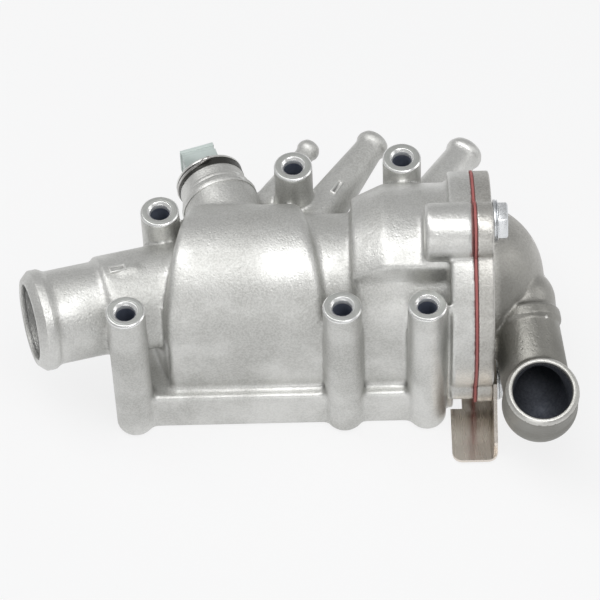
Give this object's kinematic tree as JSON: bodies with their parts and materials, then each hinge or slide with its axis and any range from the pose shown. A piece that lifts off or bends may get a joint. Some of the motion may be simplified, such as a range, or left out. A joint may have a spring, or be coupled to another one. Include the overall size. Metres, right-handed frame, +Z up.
{
  "type": "coolant outlet housing",
  "caption": "Cast aluminium coolant outlet housing with stud tubes, a hose neck, rear spigots, a valve insert and a bolted outlet cover.",
  "frame": {"origin": "centre of the front left stud bore on the mounting face", "axes": "+X along the housing from the hose neck to the outlet cover, +Y to the rear spigots, +Z up from the mounting face"},
  "size_m": [0.1896, 0.1275, 0.0845],
  "materials": {
    "cast_aluminium": "sand cast, machined bosses",
    "cover_aluminium": "sand cast",
    "red_gasket": "moulded",
    "black_rubber": "moulded",
    "bracket_steel": "pressed sheet",
    "zinc_steel": "zinc plated",
    "valve_brass": "turned",
    "grey_plastic": "moulded",
    "clip_wire": "drawn wire",
    "terminal_tin": "tinned"
  },
  "bodies": {
    "housing": {"housing_body": "cast_aluminium", "mounting_seal": "black_rubber", "outlet_cover": "cover_aluminium", "cover_gasket": "red_gasket", "cover_bracket": "bracket_steel", "cover_bolt_top": "zinc_steel", "cover_bolt_front": "zinc_steel", "cover_bolt_rear": "zinc_steel", "valve_rim_ring": "black_rubber", "valve_frame": "bracket_steel", "valve_bridge": "bracket_steel", "spring_cage": "bracket_steel", "piston_pin": "bracket_steel", "main_spring": "bracket_steel", "sensor_body": "grey_plastic", "sensor_probe": "valve_brass", "sensor_ring": "black_rubber", "sensor_clip": "clip_wire", "sensor_terminal_left": "terminal_tin", "sensor_terminal_right": "terminal_tin"},
    "valve": {"valve_disc": "valve_brass", "wax_capsule": "valve_brass", "bypass_spring": "bracket_steel"},
    "bypass": {"bypass_disc": "bracket_steel"}
  },
  "joints": [
    {"name": "valve_lift", "type": "slide", "parent": "housing", "child": "valve", "axis": [-1, 0, 0], "range_m": [0, 0.008], "deforming": ["main_spring"]},
    {"name": "bypass_give", "type": "slide", "parent": "valve", "child": "bypass", "axis": [1, 0, 0], "range_m": [0, 0.004], "deforming": ["bypass_spring"]}
  ]
}
